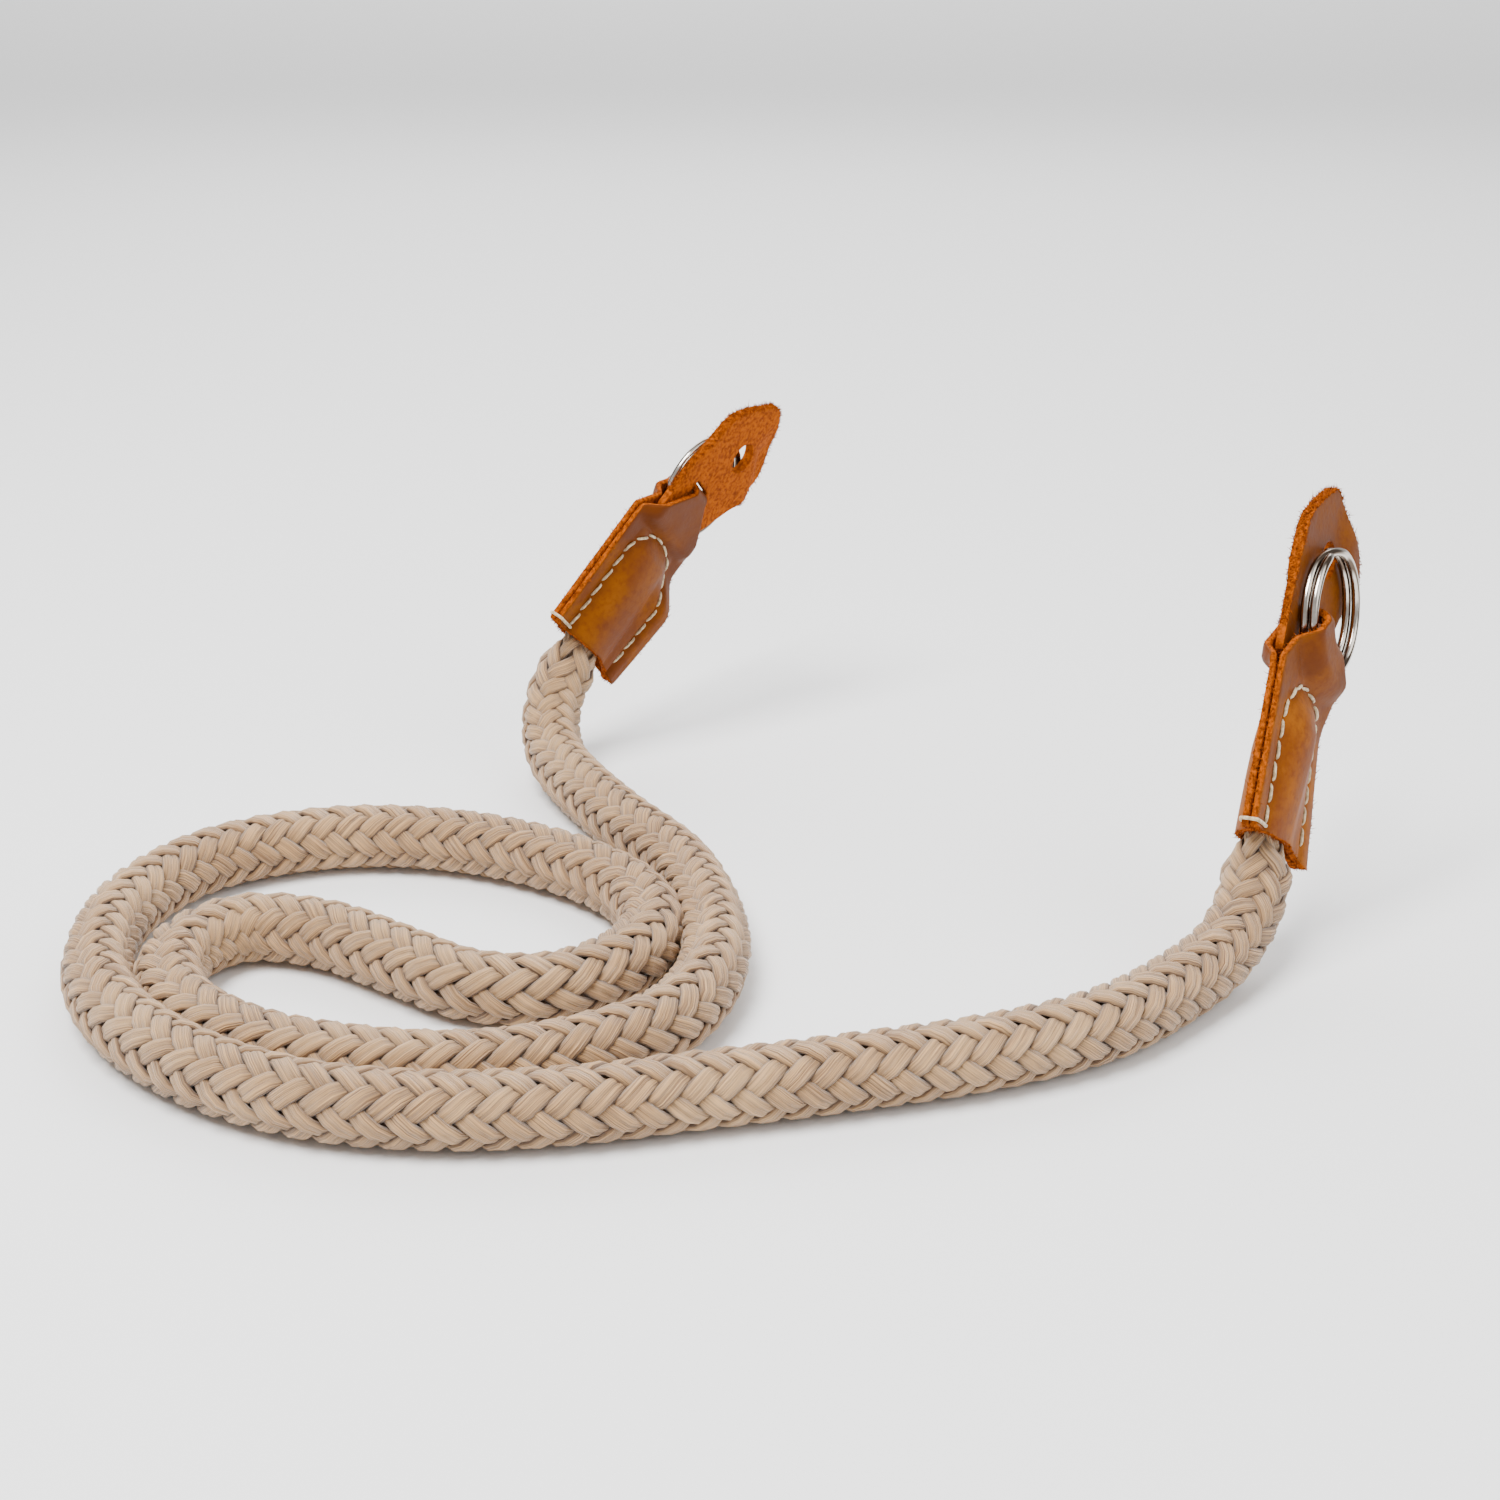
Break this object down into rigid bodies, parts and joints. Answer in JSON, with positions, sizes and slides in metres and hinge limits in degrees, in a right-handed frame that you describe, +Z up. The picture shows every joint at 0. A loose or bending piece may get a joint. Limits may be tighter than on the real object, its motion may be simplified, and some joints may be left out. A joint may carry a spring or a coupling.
{
  "type": "camera neck strap",
  "caption": "Neck strap for a camera: a braided beige rope laid in a loop, with stitched tan leather tabs, leather guard discs and steel split rings at both ends",
  "frame": {"origin": "Hang point of the right split ring: the top of the ring, where it passes through the hole of the guard disc. +Z is up; the rope lies on a level surface 57.3 mm below the origin.", "axes": "+X to the right and +Y away from the viewer, as the strap lies in the picture; +Z up."},
  "size_m": [0.2109, 0.1813, 0.068],
  "materials": {
    "rope_fibre": "braided cord, slight sheen",
    "leather": "smooth, vegetable tanned, raw edges",
    "steel": "polished nickel plate"
  },
  "bodies": {
    "strap": {"rope": "rope_fibre", "tab_right": "leather", "guard_right": "leather", "tab_left": "leather", "guard_left": "leather"},
    "ring_right": {"split_ring_right": "steel"},
    "ring_left": {"split_ring_left": "steel"}
  },
  "joints": [
    {"name": "ring_right_turn", "type": "hinge", "parent": "strap", "child": "ring_right", "pos_m": [-0.00195, -0.00483, -0.00758], "axis": [-0.8339, 0.5368, -0.128], "continuous": true},
    {"name": "ring_left_turn", "type": "hinge", "parent": "strap", "child": "ring_left", "pos_m": [-0.10705, 0.07609, -0.0089], "axis": [0.7662, -0.5639, -0.3081], "continuous": true}
  ]
}
